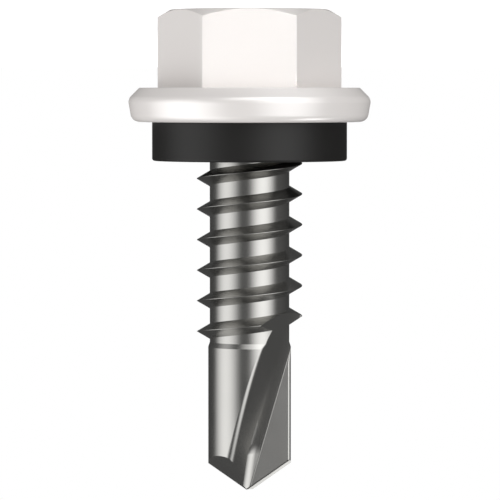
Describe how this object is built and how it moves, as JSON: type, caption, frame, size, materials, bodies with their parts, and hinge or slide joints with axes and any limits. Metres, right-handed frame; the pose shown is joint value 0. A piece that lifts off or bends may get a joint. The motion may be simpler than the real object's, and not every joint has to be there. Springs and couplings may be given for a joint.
{
  "type": "self drilling screw",
  "caption": "Self drilling screw with a flanged hexagon head, a coarse right-hand thread, a fluted drill point and a rubber sealing washer under the flange.",
  "frame": {"origin": "middle of the head's flat top, on the screw's axis", "axes": "+Z along the screw's axis from the head to the tip; two of the hexagon's flats face -Y and +Y, and the other four lean 60 degrees from them"},
  "size_m": [0.0144, 0.0144, 0.0285],
  "materials": {
    "zinc_plated_steel": "bright zinc plating on cold-formed steel, with faint lines along the shank; the head is painted, see head_paint",
    "head_paint": "semi-gloss white powder coat on the hexagon and the flange",
    "washer_rubber": "black EPDM rubber, satin"
  },
  "bodies": {
    "root": {"screw": "zinc_plated_steel", "sealing_washer": "washer_rubber"}
  },
  "joints": []
}
